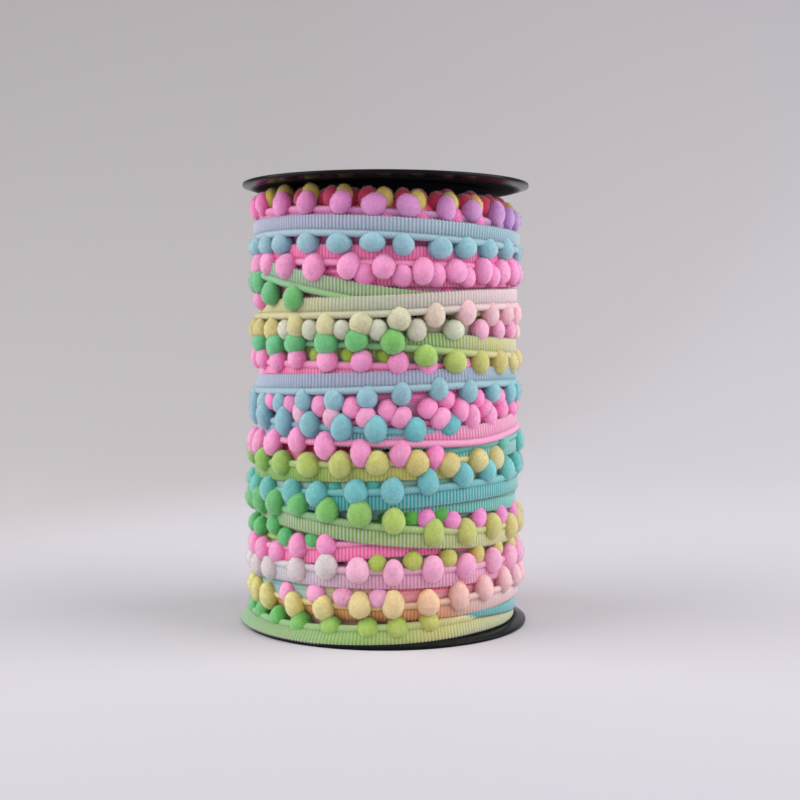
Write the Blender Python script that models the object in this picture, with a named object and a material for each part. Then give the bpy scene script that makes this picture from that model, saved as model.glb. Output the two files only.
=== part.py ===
"""A reel of pompom trim: two thin black plastic flanges with the trim wound between them.

Metres, +Z up. The reel stands on its bottom flange, with the origin at the middle of that
flange's underside. Angles go round +Z from the front (-Y), positive towards +X.
"""

import math
from collections import namedtuple

import bmesh
import bpy
from mathutils import Vector

MM = 0.001

# Reel
FLANGE_RADIUS = 37.5 * MM
FLANGE_THICKNESS = 1.5 * MM
REEL_HEIGHT = 115.0 * MM
SEAT_GAP = 0.3 * MM  # between a flange and the end of the winding
FLANGE_SIDES = 48

# Flange moulding, on its outer face
RIM_WIDTH = 3.4 * MM  # flat ring that the reel stands on
WEB_RECESS = 0.45 * MM
HUB_RADIUS = 13.0 * MM
HUB_RING_WIDTH = 3.0 * MM
HUB_RING_RECESS = 0.15 * MM
HUB_CENTRE_RECESS = 0.6 * MM
EDGE_ROUND = 0.4 * MM
MOULD_DRAFT = 0.35 * MM  # sideways run of each moulded step

# Winding
TAPE_RADIUS = 33.2 * MM  # where the woven tape lies
GROOVE_RADIUS = 32.3 * MM  # where a row of pompoms is rooted
PARTING_RADIUS = 32.7 * MM  # the dip between two tapes side by side
END_RADIUS = 32.8 * MM  # the winding's two end faces
GROOVE_HALF_HEIGHT = 1.4 * MM
TAPE_EDGE = 0.6 * MM  # height over which a tape's edge rises out of the groove
COLUMNS = 40  # every second column of a row carries a pompom

# The last turn spreads out over the bottom flange at the front left.
FLARE_ANGLE = math.radians(-62)
FLARE_HALF_SPAN = math.radians(48)
FLARE_REACH = 2.6 * MM
LAST_TAPE_HEIGHT = 0.7 * MM  # of the last tape's widest line, above the winding's end

# Pompom, as three square rings stacked outwards: half width, half height, distance from the axis
Ring = namedtuple("Ring", "half_width half_height radius")
NECK = Ring(1.2 * MM, 1.0 * MM, 32.6 * MM)
BELLY = Ring(2.4 * MM, 2.85 * MM, 34.1 * MM)
CROWN = Ring(1.4 * MM, 1.7 * MM, 35.5 * MM)

# Each turn's row of pompoms: its height in millimetres at five angles round the front, and how
# many lines of points shape the tape under it. The back runs smoothly from right to left.
STATIONS = tuple(math.radians(a) for a in (-80, -40, 0, 40, 80))
Turn = namedtuple("Turn", "name left mid_left centre mid_right right tape_lines")
TURNS = (
    Turn("lavender", 109.0, 108.7, 107.9, 106.9, 105.4, 2),
    Turn("sky_upper", 99.4, 98.8, 98.2, 97.3, 98.0, 1),
    Turn("rose_upper", 94.8, 93.4, 92.7, 92.6, 92.4, 3),
    Turn("cream", 78.2, 79.2, 80.0, 81.8, 82.8, 2),
    Turn("green_upper", 74.0, 74.8, 75.0, 70.6, 69.8, 3),
    Turn("sky_middle", 60.2, 60.6, 61.8, 62.6, 62.8, 1),
    Turn("rose_middle", 56.3, 56.7, 57.9, 58.6, 58.8, 1),
    Turn("sky_lower", 52.3, 52.8, 53.9, 54.6, 54.8, 1),
    Turn("rose_lower", 48.0, 48.7, 49.1, 49.4, 50.2, 1),
    Turn("lime", 43.8, 44.4, 44.9, 45.1, 45.7, 1),
    Turn("turquoise", 37.6, 38.0, 38.8, 41.0, 41.6, 2),
    Turn("green_middle", 33.3, 33.8, 31.2, 27.8, 26.8, 3),
    Turn("white", 17.0, 18.8, 18.7, 18.9, 19.2, 2),
    Turn("peach", 11.0, 9.6, 10.6, 12.0, 12.2, 1),
    Turn("green_lower", 5.9, 5.3, 5.3, 6.0, 6.2, 0),
)


def clear_scene():
    for obj in list(bpy.data.objects):
        bpy.data.objects.remove(obj, do_unlink=True)


def make_material(name, colour, roughness, sheen=0.0):
    material = bpy.data.materials.new(name)
    material.use_nodes = True
    surface = material.node_tree.nodes["Principled BSDF"]
    surface.inputs["Base Color"].default_value = (*colour, 1.0)
    surface.inputs["Roughness"].default_value = roughness
    surface.inputs["Metallic"].default_value = 0.0
    surface.inputs["Sheen Weight"].default_value = sheen
    return material


def add_object(name, mesh, material, sharp_angle):
    mesh.materials.append(material)
    mesh.shade_smooth()
    mesh.set_sharp_from_angle(angle=math.radians(sharp_angle))
    obj = bpy.data.objects.new(name, mesh)
    bpy.context.scene.collection.objects.link(obj)
    return obj


# Flanges


def flange_profile():
    """(radius, height above the outer face) from the axis along the outer face, round the rim and back."""
    rim_inside = FLANGE_RADIUS - RIM_WIDTH
    hub_inside = HUB_RADIUS - HUB_RING_WIDTH
    return (
        (0.0, HUB_CENTRE_RECESS),
        (hub_inside - MOULD_DRAFT, HUB_CENTRE_RECESS),
        (hub_inside, HUB_RING_RECESS),
        (HUB_RADIUS, HUB_RING_RECESS),
        (HUB_RADIUS + MOULD_DRAFT, WEB_RECESS),
        (rim_inside - MOULD_DRAFT, WEB_RECESS),
        (rim_inside, 0.0),
        (FLANGE_RADIUS - EDGE_ROUND, 0.0),
        (FLANGE_RADIUS, EDGE_ROUND),
        (FLANGE_RADIUS, FLANGE_THICKNESS - EDGE_ROUND),
        (FLANGE_RADIUS - EDGE_ROUND, FLANGE_THICKNESS),
        (0.0, FLANGE_THICKNESS),
    )


def make_flange(name, material, upside_down):
    """One moulded disc, turned from its profile; the top one is the same moulding upside down."""
    form = bmesh.new()
    profile = [form.verts.new((radius, 0.0, height)) for radius, height in flange_profile()]
    edges = [form.edges.new(pair) for pair in zip(profile, profile[1:])]
    bmesh.ops.spin(
        form,
        geom=profile + edges,
        cent=(0.0, 0.0, 0.0),
        axis=(0.0, 0.0, 1.0),
        angle=math.tau,
        steps=FLANGE_SIDES,
        use_merge=True,
    )
    bmesh.ops.remove_doubles(form, verts=form.verts, dist=0.01 * MM)
    bmesh.ops.recalc_face_normals(form, faces=form.faces)
    mesh = bpy.data.meshes.new(name)
    form.to_mesh(mesh)
    form.free()
    obj = add_object(name, mesh, material, sharp_angle=35)
    if upside_down:
        obj.location.z = REEL_HEIGHT
        obj.rotation_euler.x = math.pi
    return obj


# Winding


def eased(share):
    return share * share * (3.0 - 2.0 * share)


def row_height(turn, angle):
    """Height of this turn's pompoms at an angle, running smoothly from station to station."""
    heights = (turn.left, turn.mid_left, turn.centre, turn.mid_right, turn.right, turn.left)
    stations = (*STATIONS, STATIONS[0] + math.tau)
    place = (angle - STATIONS[0]) % math.tau + STATIONS[0]
    for start, end, here, there in zip(stations, stations[1:], heights, heights[1:]):
        if place <= end:
            return (here + (there - here) * eased((place - start) / (end - start))) * MM
    return heights[-1] * MM


def flare(angle):
    """How far the last tape spreads at this angle."""
    away = abs((angle - FLARE_ANGLE + math.pi) % math.tau - math.pi)
    return FLARE_REACH * eased(max(0.0, 1.0 - away / FLARE_HALF_SPAN))


def tape_points(count, top, bottom):
    """(height, radius) of the lines that shape the tape between two rows of pompoms."""
    if count == 1:
        return [((top + bottom) / 2, TAPE_RADIUS)]
    edges = [(top - TAPE_EDGE, TAPE_RADIUS), (bottom + TAPE_EDGE, TAPE_RADIUS)]
    if count == 3:
        edges.insert(1, ((top + bottom) / 2, PARTING_RADIUS))
    return edges


def winding_section(angle):
    """(height, radius) down the winding at this angle, from its top end to its bottom end."""
    top = REEL_HEIGHT - FLANGE_THICKNESS - SEAT_GAP
    bottom = FLANGE_THICKNESS + SEAT_GAP
    rows = [row_height(turn, angle) for turn in TURNS]
    section = [(top, END_RADIUS), (top - TAPE_EDGE, TAPE_RADIUS)]
    for turn, row, below in zip(TURNS, rows, rows[1:] + [None]):
        section.append((row + GROOVE_HALF_HEIGHT, GROOVE_RADIUS))
        section.append((row - GROOVE_HALF_HEIGHT, GROOVE_RADIUS))
        if below is not None:
            section += tape_points(
                turn.tape_lines, row - GROOVE_HALF_HEIGHT, below + GROOVE_HALF_HEIGHT
            )
    section.append((bottom + LAST_TAPE_HEIGHT, TAPE_RADIUS + flare(angle)))
    section.append((bottom, END_RADIUS + flare(angle)))
    return section


def groove_lines():
    """The number of the line of points at the top of each turn's groove."""
    found = []
    line = 2  # after the two lines that close the winding's top end
    for turn in TURNS:
        found.append(line)
        line += 2 + turn.tape_lines
    return found


def polar(angle, radius, height):
    return Vector((radius * math.sin(angle), -radius * math.cos(angle), height))


def sprout_pompom(form, root, angle, height):
    """Grows one pompom out of its root face: a thin neck, a full belly and a smaller crown."""
    across = Vector((math.cos(angle), math.sin(angle), 0.0))
    face = root
    for ring in (NECK, BELLY, CROWN):
        grown = bmesh.ops.extrude_discrete_faces(form, faces=[face])["faces"][0]
        centre = polar(angle, ring.radius, height)
        for vert in grown.verts:
            side = 1.0 if (vert.co - centre).dot(across) > 0 else -1.0
            above = 1.0 if vert.co.z > height else -1.0
            vert.co = centre + across * side * ring.half_width
            vert.co.z += above * ring.half_height
        face = grown


def make_winding(name, material):
    """The wound trim as one solid: its turns as raised bands, with the rows of pompoms between."""
    angles = [math.tau * column / COLUMNS for column in range(COLUMNS)]
    form = bmesh.new()
    grid = [
        [form.verts.new(polar(angle, radius, height)) for height, radius in winding_section(angle)]
        for angle in angles
    ]
    grooves = groove_lines()
    roots = []
    for column in range(COLUMNS):
        here, there = grid[column], grid[(column + 1) % COLUMNS]
        for line in range(len(here) - 1):
            corners = (here[line], here[line + 1], there[line + 1], there[line])
            face = form.faces.new(corners)
            if line in grooves and (column + grooves.index(line)) % 2 == 0:
                roots.append((face, column, TURNS[grooves.index(line)]))
    form.faces.new([side[0] for side in grid])
    form.faces.new([side[-1] for side in reversed(grid)])
    for face, column, turn in roots:
        angle = math.tau * (column + 0.5) / COLUMNS
        sprout_pompom(form, face, angle, row_height(turn, angle))
    bmesh.ops.recalc_face_normals(form, faces=form.faces)
    mesh = bpy.data.meshes.new(name)
    form.to_mesh(mesh)
    form.free()
    return add_object(name, mesh, material, sharp_angle=50)


def main():
    clear_scene()
    plastic = make_material("black_plastic", (0.012, 0.012, 0.014), 0.32)
    fabric = make_material("pompom_trim", (0.78, 0.60, 0.68), 0.95, sheen=0.4)
    make_flange("flange_bottom", plastic, upside_down=False)
    make_flange("flange_top", plastic, upside_down=True)
    make_winding("wound_trim", fabric)


main()
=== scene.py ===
import math
from collections import namedtuple

import bmesh
import bpy
import numpy as np
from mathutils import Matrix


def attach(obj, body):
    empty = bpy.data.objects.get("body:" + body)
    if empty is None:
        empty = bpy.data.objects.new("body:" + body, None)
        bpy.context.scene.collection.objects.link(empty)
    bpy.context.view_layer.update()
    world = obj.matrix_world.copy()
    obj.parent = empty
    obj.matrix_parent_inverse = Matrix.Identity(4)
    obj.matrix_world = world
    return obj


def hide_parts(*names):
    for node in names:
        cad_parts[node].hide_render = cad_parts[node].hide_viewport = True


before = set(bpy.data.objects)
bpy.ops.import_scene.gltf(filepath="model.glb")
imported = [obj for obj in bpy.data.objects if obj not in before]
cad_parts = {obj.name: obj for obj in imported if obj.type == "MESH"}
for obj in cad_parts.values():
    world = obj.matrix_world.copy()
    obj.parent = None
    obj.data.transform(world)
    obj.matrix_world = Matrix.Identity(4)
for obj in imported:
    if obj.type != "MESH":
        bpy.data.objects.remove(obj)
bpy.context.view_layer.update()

mm = 0.001
scene = bpy.context.scene
scene.view_settings.view_transform = "Standard"


def nodeOutputs(where, kind, inputs=None, **settings):
    # those of a new node. "where" is a tree, or any socket in it.
    tree = where.id_data
    node = tree.nodes.new(kind)
    for name, value in settings.items():
        setattr(node, name, value)
    for key, value in (inputs or {}).items():
        socket = node.inputs[key]
        if isinstance(key, str):  # a Mix node has several sockets of one name
            socket = next(one for one in node.inputs if one.name == key and one.enabled)
        if isinstance(value, bpy.types.NodeSocket):
            tree.links.new(value, socket)
        else:
            socket.default_value = value
    return node.outputs


def addNode(where, kind, inputs=None, **settings):
    # a new node's first output that is in use
    return next(out for out in nodeOutputs(where, kind, inputs, **settings) if out.enabled)


def mixed(factor, one, other):
    return addNode(factor, "ShaderNodeMix", {"Factor": factor, "A": one, "B": other}, data_type="RGBA")


def calc(operation, *values):
    known = next(value for value in values if isinstance(value, bpy.types.NodeSocket))
    return addNode(known, "ShaderNodeMath", dict(enumerate(values)), operation=operation)


def times(one, other):
    return calc("MULTIPLY", one, other)


def timesPlus(one, other, more):
    return calc("MULTIPLY_ADD", one, other, more)


def minus(one, other):
    return calc("SUBTRACT", one, other)


def calcVector(operation, *vectors):
    return addNode(vectors[0], "ShaderNodeVectorMath", dict(enumerate(vectors)), operation=operation)


def scaled(vector, scale):
    return addNode(scale, "ShaderNodeVectorMath", {0: vector, "Scale": scale}, operation="SCALE")


def ramped(value, start, end, low=0.0, high=1.0, curve="LINEAR"):
    # low up to the start, high from the end on
    inputs = {"Value": value, "From Min": start, "From Max": end, "To Min": low, "To Max": high}
    return addNode(value, "ShaderNodeMapRange", inputs, interpolation_type=curve)


def split(vector):
    return nodeOutputs(vector, "ShaderNodeSeparateXYZ", {0: vector})


def ownPlace(tree):
    return nodeOutputs(tree, "ShaderNodeTexCoord")["Object"]


def fromAxis(place):
    return calcVector("LENGTH", calcVector("MULTIPLY", place, (1.0, 1.0, 0.0)))


def newGeometryTree(name, kinds):
    # kinds: for each kind of socket, the names of the inputs of that kind
    tree = bpy.data.node_groups.new(name, "GeometryNodeTree")
    tree.is_modifier = True
    tree.interface.new_socket("Geometry", in_out="INPUT", socket_type="NodeSocketGeometry")
    tree.interface.new_socket("Geometry", in_out="OUTPUT", socket_type="NodeSocketGeometry")
    for kind, labels in kinds.items():
        for label in labels.split():
            tree.interface.new_socket(label, in_out="INPUT", socket_type="NodeSocket" + kind)
    return tree, tree.nodes.new("NodeGroupInput").outputs, tree.nodes.new("NodeGroupOutput")


def endTree(result, geometry, material):
    real = addNode(geometry, "GeometryNodeRealizeInstances", {"Geometry": geometry})
    smooth = addNode(real, "GeometryNodeSetShadeSmooth", {"Geometry": real})
    painted = addNode(smooth, "GeometryNodeSetMaterial", {"Geometry": smooth, "Material": material})
    painted.id_data.links.new(painted, result.inputs[0])


def attribute(tree, name, kind="FLOAT"):
    return addNode(tree, "GeometryNodeInputNamedAttribute", {"Name": name}, data_type=kind)


def vectorAttribute(tree, name):
    return attribute(tree, name, "FLOAT_VECTOR")


def store(geometry, name, value, kind="FLOAT"):
    inputs = {"Geometry": geometry, "Name": name, "Value": value}
    return addNode(geometry, "GeometryNodeStoreNamedAttribute", inputs, data_type=kind, domain="POINT")


def growPiece(name, seedMesh, tree, values):
    # the tree's result as a plain mesh, with no modifier left
    holder = bpy.data.objects.new(name, seedMesh)
    scene.collection.objects.link(holder)
    modifier = holder.modifiers.new(tree.name, "NODES")
    modifier.node_group = tree
    for item in tree.interface.items_tree:
        if item.in_out == "INPUT" and item.name in values:
            modifier[item.identifier] = values[item.name]
    graph = bpy.context.evaluated_depsgraph_get()
    grown = bpy.data.meshes.new_from_object(
        holder.evaluated_get(graph), preserve_all_data_layers=True, depsgraph=graph
    )
    holder.modifiers.clear()
    holder.data = grown
    grown.name = name
    return holder


viewpoint = {
    "distance": 0.35867,  # from the reel's axis, metres
    "height": 0.07829,
    "pitch": 3.18,  # degrees down
    "turn": 0.613,  # degrees to the right
    "roll": 0.129,
    "lens": 60.82,  # millimetres, as is the width of the sensor
    "sensor": 36.0,
    "nearest": 0.01,
}

studio = {
    "floorFront": -1.2,  # metres
    "floorBack": 0.35,
    "floorSide": 1.6,
    "sweepRadius": 1.0,
    "sweepStep": 6,  # degrees
    "wallTop": 1.8,
    "floorColour": (0.55, 0.522, 0.566, 1.0),
    # the near and wall colours are painted shade on the paper
    "nearShadeColour": (0.47, 0.466, 0.508, 1.0),
    "near": (-0.05, -0.18),  # where the painted shade near the camera starts and is full
    "wallShadeColour": (0.48, 0.457, 0.465, 1.0),
    "wall": (0.24, 0.46),  # the same for the painted shade towards the wall, measured along a line slanted by wallSlant
    "wallSlant": -1.47,
    "wallSide": (0.45, -0.1),  # from the right, where the wall has least of its painted shade, to the left
    "wallLeast": 0.2,
    "surface": {"Roughness": 0.85},
    "skyColour": (1.0, 0.97, 0.99, 1.0),
    "skyStrength": 0.47,
    "lampSize": 1.1,
    "aim": (0.0, 0.0, 0.06),
    "lamps": {
        "topLamp": ((-0.15, -0.45, 0.95), 1.4),  # place and power
        "leftLamp": ((-0.9, -0.18, 0.6), 11.4),
        "rightLamp": ((0.9, -0.18, 0.6), 12.9),
    },
}


def placeCamera():
    data = bpy.data.cameras.new("camera")
    data.sensor_width = viewpoint["sensor"]
    data.lens = viewpoint["lens"]
    data.clip_start = viewpoint["nearest"]
    camera = bpy.data.objects.new("camera", data)
    camera.location = (0.0, -viewpoint["distance"], viewpoint["height"])
    pitch = math.radians(90.0 - viewpoint["pitch"])
    camera.rotation_euler = (pitch, -math.radians(viewpoint["roll"]), -math.radians(viewpoint["turn"]))
    scene.collection.objects.link(camera)
    scene.camera = camera


def makeSweep():
    # a floor that bends up into a wall behind
    radius = studio["sweepRadius"]
    bend = [math.radians(a) for a in range(-90, 1, studio["sweepStep"])]
    profile = [(studio["floorFront"], 0.0)]
    profile += [(studio["floorBack"] + radius * math.cos(a), radius + radius * math.sin(a)) for a in bend]
    profile.append((studio["floorBack"] + radius, studio["wallTop"]))
    size = len(profile)
    points = [(x, y, z) for x in (-studio["floorSide"], studio["floorSide"]) for y, z in profile]
    faces = [(size + k, size + k + 1, k + 1, k) for k in range(size - 1)]
    floor = newObject("floor", points, faces, paperWithPaintedShade())


def paperWithPaintedShade():
    # pale paper with painted shade: a little darker towards the wall, most of all to the left, and close in
    # front
    material, tree, surface = newMaterial("paper", studio["surface"])
    spot = split(ownPlace(tree))
    back = timesPlus(spot[0], studio["wallSlant"], spot[1])
    band = ramped(back, *studio["wall"], curve="SMOOTHSTEP")
    left = ramped(spot[0], *studio["wallSide"], low=studio["wallLeast"])
    near = ramped(spot[1], *studio["near"])
    # painted shade on the paper: darker close in front, and towards the wall
    colour = mixed(near, studio["floorColour"], studio["nearShadeColour"])
    colour = mixed(times(band, left), colour, studio["wallShadeColour"])
    tree.links.new(colour, surface["Base Color"])
    return material


def newMaterial(name, constants):
    material = bpy.data.materials.new(name)
    material.use_nodes = True
    sockets = material.node_tree.nodes["Principled BSDF"].inputs
    for key, value in constants.items():
        sockets[key].default_value = value
    return material, material.node_tree, sockets


def addLamp(name, place, power):
    data = bpy.data.lights.new(name, "AREA")
    data.shape = "SQUARE"
    data.size = studio["lampSize"]
    data.energy = power
    lamp = bpy.data.objects.new(name, data)
    lamp.location = place
    x, y, z = np.subtract(place, studio["aim"])
    lamp.rotation_euler = (math.atan2(math.hypot(x, y), z), 0.0, math.atan2(y, x) + math.pi / 2)
    scene.collection.objects.link(lamp)


def lightStudio():
    world = bpy.data.worlds.new("studio")
    world.use_nodes = True
    sky = world.node_tree.nodes["Background"]
    sky.inputs["Color"].default_value = studio["skyColour"]
    sky.inputs["Strength"].default_value = studio["skyStrength"]
    scene.world = world
    for name, (place, power) in studio["lamps"].items():
        addLamp(name, place, power)


def newObject(name, points, faces, material):
    mesh = bpy.data.meshes.new(name)
    mesh.from_pydata(points, [], faces)
    form = bmesh.new()
    form.from_mesh(mesh)
    bmesh.ops.recalc_face_normals(form, faces=form.faces)
    form.to_mesh(mesh)
    form.free()
    mesh.shade_smooth()
    mesh.materials.append(material)
    piece = bpy.data.objects.new(name, mesh)
    scene.collection.objects.link(piece)
    return piece


placeCamera()
makeSweep()
lightStudio()
print("studio: camera, floor and three lamps")

# The trim is dyed in one long run. A turn's dye is a number along these steps.
Dye = namedtuple("Dye", "name felt weave")
dyeRun = (
    Dye("white", (212, 206, 204), (194, 190, 198)),
    Dye("pink", (238, 155, 199), (236, 124, 174)),
    Dye("lavender", (188, 152, 204), (160, 140, 182)),
    Dye("blue", (150, 186, 199), (150, 176, 194)),
    Dye("turquoise", (112, 186, 190), (50, 164, 166)),
    Dye("mint", (108, 188, 146), (110, 182, 150)),
    Dye("green", (108, 184, 100), (142, 176, 122)),
    Dye("lime", (169, 194, 98), (138, 176, 86)),
    Dye("yellow", (204, 190, 120), (194, 190, 114)),
    Dye("cream", (205, 203, 172), (182, 188, 158)),
    Dye("blush", (232, 186, 198), (218, 190, 194)),
    Dye("peach", (228, 188, 160), (224, 158, 112)),
    Dye("butter", (218, 212, 142), (214, 176, 108)),
    Dye("rose", (204, 84, 134), (240, 98, 120)),
    # painted shade: a darker, greenish white for white balls among green ones, standing for their shade and
    # the green light around them
    Dye("shadedWhite", (203, 207, 185), (204, 204, 182)),
)

# The roll is a little fatter over its lower half, and painted darker under the top flange, a painted shade.
roll = {
    "swell": 0.8,  # millimetres, as is all here but the roof shade
    "slimTo": 7,
    "swollenFrom": 14,
    "swollenTo": 50,
    "slimFrom": 64,
    "roofFrom": 104,
    "roofTo": 112,
    "roofShade": 0.45,
}


def linear(colour):
    # from screen values, 0 to 255, to light
    def open8(v):
        v = v / 255
        return v / 12.92 if v <= 0.04045 else ((v + 0.055) / 1.055) ** 2.4

    return (*(open8(v) for v in colour), 1.0)


def dyeRamp(phase, column):
    ramp = addNode(phase, "ShaderNodeValToRGB", {"Fac": phase})
    stops = ramp.node.color_ramp.elements
    last = len(dyeRun) - 1
    for i, dye in enumerate(dyeRun):
        stop = stops[0] if i == 0 else stops[-1] if i == last else stops.new(i / last)
        stop.color = linear(getattr(dye, column))
    return ramp


colourSockets = ("Colour", "Felt", "Weave")


def newShaderGroup(name, inputs, outputs):
    # inputs and outputs are names of sockets, and those that aren't colours are numbers
    group = bpy.data.node_groups.new(name, "ShaderNodeTree")
    for way, labels in (("INPUT", inputs), ("OUTPUT", outputs)):
        for label in labels.split():
            kind = "NodeSocketColor" if label in colourSockets else "NodeSocketFloat"
            group.interface.new_socket(label, in_out=way, socket_type=kind)
    return group, group.nodes.new("NodeGroupInput").outputs, group.nodes.new("NodeGroupOutput").inputs


def makeDyeGroup():
    group, given, result = newShaderGroup("dyeBath", "Dye", "Felt Weave")
    phase = calc("DIVIDE", given["Dye"], float(len(dyeRun) - 1))
    group.links.new(dyeRamp(phase, "felt"), result["Felt"])
    group.links.new(dyeRamp(phase, "weave"), result["Weave"])
    return group


def makeFibreGroup():
    # uneven fibres: a mottled tone and a fine fuzzy height. The fine part of the tone follows that height, so
    # dips come out darker, partly random mottling and partly a painted shade.
    group, given, result = newShaderGroup("fibres", "Size Mottle", "Tone Height")
    place = ownPlace(group)
    scale = calc("DIVIDE", 1.0, given["Size"])
    wide = times(scale, 0.12)  # mottles are about eight times the fibres
    inputs = {"Vector": place, "Scale": wide, "Detail": 3.0}
    broad = addNode(group, "ShaderNodeTexNoise", inputs)
    inputs = {"Vector": place, "Scale": scale, "Detail": 4.0, "Distortion": 1.2}
    fine = addNode(group, "ShaderNodeTexNoise", inputs)
    swing = times(minus(broad, 0.5), given["Mottle"])
    grain = times(minus(fine, 0.5), given["Mottle"])
    tone = calc("ADD", calc("ADD", swing, grain), 1.0)
    group.links.new(tone, result["Tone"])
    group.links.new(fine, result["Height"])
    return group


def makeGapGroup():
    # painted shade in the gaps and under the top flange: deeper in, a colour comes out darker and stronger,
    # standing in for light passing from fibre to fibre, and Gain paints it brighter there, a painted light
    group, given, result = newShaderGroup("gapShade", "Colour Face Depth Strength Gain", "Colour")
    place = ownPlace(group)
    height = split(place)[2]
    swollen = (roll["swollenTo"] * mm, roll["slimFrom"] * mm, roll["swell"] * mm, 0.0)
    face = calc("ADD", given["Face"], ramped(height, *swollen))
    sunk = minus(face, fromAxis(place))
    gap = calc("DIVIDE", sunk, given["Depth"])
    gap = calc("MINIMUM", calc("MAXIMUM", gap, 0.0), 1.0)
    # painted shade under the top flange
    roof = ramped(height, roll["roofFrom"] * mm, roll["roofTo"] * mm)
    gamma = timesPlus(roof, roll["roofShade"], 1.0)
    gamma = timesPlus(gap, given["Strength"], gamma)
    deep = addNode(group, "ShaderNodeGamma", {"Color": given["Colour"], "Gamma": gamma})
    # painted light: a colour deep in the gaps is made brighter
    gain = timesPlus(gap, given["Gain"], 1.0)
    group.links.new(scaled(deep, gain), result["Colour"])
    return group


dyeGroup = makeDyeGroup()
fibreGroup = makeFibreGroup()
gapGroup = makeGapGroup()


def placeGroup(tree, group, values):
    return nodeOutputs(tree, "ShaderNodeGroup", values, node_tree=group)


def read(tree, name, output="Fac"):
    return nodeOutputs(tree, "ShaderNodeAttribute", attribute_name=name)[output]


# painted shade and light of the gaps and under the top flange, from the gapShade group
def shaded(colour, cloth):
    inputs = {"Colour": colour, "Face": cloth["face"] * mm, "Depth": cloth["depth"] * mm}
    return placeGroup(colour, gapGroup, {**inputs, "Strength": cloth["gap"], "Gain": cloth["gain"]})["Colour"]


def finishCloth(surface, colour, height, cloth):
    inputs = {"Height": height, "Strength": cloth["bump"], "Distance": cloth["bumpDepth"]}
    links = height.id_data.links
    links.new(addNode(height, "ShaderNodeBump", inputs), surface["Normal"])
    links.new(colour, surface["Base Color"])


felt = {
    "tuft": 0.0007,  # metres
    "fibre": 0.00016,
    "mottle": 0.16,
    "tuftDipShade": 0.5,  # painted shade: how much darker the dips between tufts are
    "bump": 0.55,
    "bumpDepth": 0.0004,
    "fibreBump": 0.35,  # against the tufts' 1
    "tipHighlightColour": (0.9, 0.88, 0.9, 1.0),
    "tipHighlightShare": 0.4,  # painted highlight: how much paler a hair is at its end
    "lightness": 1.03,
    "face": 35.2,  # millimetres from the axis, past which nothing is in a gap
    "depth": 3.4,  # so far in from there the painted shade of a gap is full
    # gap and gain: how far the painted shade darkens and deepens a colour in the gaps, and how far painted
    # light brightens it there
    "gap": 1.1,
    "gain": 0.4,
    "surface": {
        "Roughness": 0.95,
        "Specular IOR Level": 0.15,
        "Sheen Weight": 0.5,
        "Sheen Roughness": 0.5,
        "Subsurface Weight": 0.4,
        "Subsurface Scale": 0.0012,
        "Subsurface Radius": (1.0, 0.8, 0.8),
    },
}


def makeFelt():
    material, tree, surface = newMaterial("felt", felt["surface"])
    tufts = placeGroup(tree, fibreGroup, {"Size": felt["tuft"], "Mottle": felt["tuftDipShade"]})
    fibres = placeGroup(tree, fibreGroup, {"Size": felt["fibre"], "Mottle": felt["mottle"]})
    bath = placeGroup(tree, dyeGroup, {"Dye": read(tree, "dye")})
    # hair ends painted paler, a painted highlight
    paler = times(read(tree, "end"), felt["tipHighlightShare"])
    colour = mixed(paler, shaded(bath["Felt"], felt), felt["tipHighlightColour"])
    tone = times(times(tufts["Tone"], fibres["Tone"]), felt["lightness"])
    height = timesPlus(fibres["Height"], felt["fibreBump"], tufts["Height"])
    finishCloth(surface, scaled(colour, tone), height, felt)
    return material


weave = {
    "fibre": 0.00016,  # metres
    "mottle": 0.2,
    "bump": 0.5,
    "bumpDepth": 0.00015,
    "weft": 0.0003,  # from one thread across the ribs to the next
    "weftTone": 0.05,
    "weftBump": 4.0,
    "ribDipShade": 0.16,  # painted shade: how much darker it is between two ribs
    "seamAt": 0.0034,  # the line of holes, from the free edge
    "seamWidth": 0.0004,
    "seamTone": 0.22,
    "thread": (0.6, 0.58, 0.62, 1.0),  # bare, where the dye is thin
    "bleach": 0.5,
    # pale rib tops: bare thread, and a painted highlight
    "ribBleachAndHighlight": 0.75,
    "flatBleach": 0.35,
    "cordBleach": 0.14,
    "edgeBleach": 0.55,
    "edge": 0.0005,
    "fadeWidth": 0.0045,  # over which one dye gives way to the other
    "cordFelt": 0.6,  # how far the cord has the balls' shade of a dye
    "strands": 240,  # of the cord, to a turn
    "strandSlant": 0.0013,
    "strandTone": 0.06,
    "strandBump": 0.6,
    "face": 34.0,  # as for the felt
    "depth": 2.2,
    # gap and gain: painted shade and painted light in the gaps, as for the felt
    "gap": 0.7,
    "gain": 0.6,
    "surface": {"Roughness": 0.8, "Specular IOR Level": 0.2, "Sheen Weight": 0.3},
}


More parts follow.
